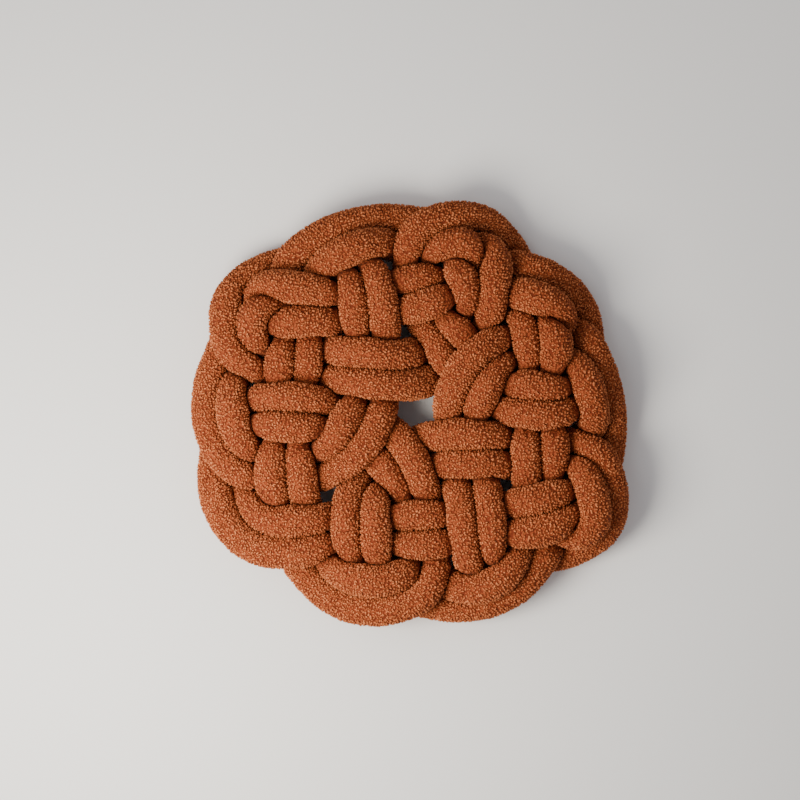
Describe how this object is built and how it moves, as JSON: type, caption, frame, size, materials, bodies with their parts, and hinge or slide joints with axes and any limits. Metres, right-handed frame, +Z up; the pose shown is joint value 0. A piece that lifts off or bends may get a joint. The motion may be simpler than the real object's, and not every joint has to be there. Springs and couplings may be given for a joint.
{
  "type": "knot cushion",
  "caption": "Round knot cushion of a stuffed boucle cord, laid in a pair and woven over and under, with lobes round the edge and a small gap in the middle.",
  "frame": {"origin": "middle of the underside, on the surface the cushion rests on", "axes": "+Z up through the face, +Y to the picture's top, +X to the picture's right"},
  "size_m": [0.397, 0.386, 0.0694],
  "materials": {
    "boucle": "short curly boucle pile, matt"
  },
  "bodies": {
    "root": {"cord_round_a": "boucle", "cord_round_b": "boucle"}
  },
  "joints": []
}
